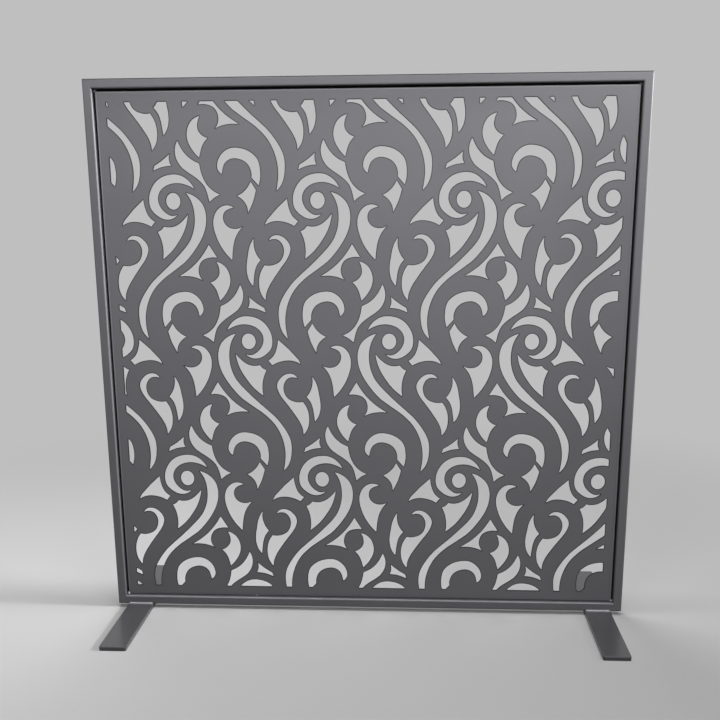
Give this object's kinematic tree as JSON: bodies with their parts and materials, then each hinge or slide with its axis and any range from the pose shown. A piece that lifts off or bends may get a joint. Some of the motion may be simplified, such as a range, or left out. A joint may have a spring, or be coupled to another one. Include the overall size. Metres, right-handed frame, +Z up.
{
  "type": "free-standing laser-cut screen",
  "caption": "Free-standing metal room divider: a laser-cut scrollwork sheet welded into a square-tube frame that stands on flat-bar feet.",
  "frame": {"origin": "on the floor, under the middle of the screen and of its tube frame", "axes": "+X across the screen, to the right as seen from its front; +Y from its front to its back, along the feet; +Z up"},
  "size_m": [1.5, 0.6, 1.512],
  "materials": {
    "frame_paint": "satin",
    "panel_paint": "satin",
    "stop_paint": "satin",
    "foot_paint": "gloss",
    "weld_paint": "satin"
  },
  "bodies": {
    "root": {"top_rail": "frame_paint", "bottom_rail": "frame_paint", "left_stile": "frame_paint", "right_stile": "frame_paint", "top_stop": "stop_paint", "bottom_stop": "stop_paint", "left_stop": "stop_paint", "right_stop": "stop_paint", "screen_panel": "panel_paint", "top_left_tack": "weld_paint", "top_right_tack": "weld_paint", "bottom_left_tack": "weld_paint", "bottom_right_tack": "weld_paint", "bottom_edge_tack": "weld_paint", "left_foot": "foot_paint", "right_foot": "foot_paint", "left_foot_front_bead": "weld_paint", "left_foot_rear_bead": "weld_paint", "right_foot_front_bead": "weld_paint", "right_foot_rear_bead": "weld_paint"}
  },
  "joints": []
}
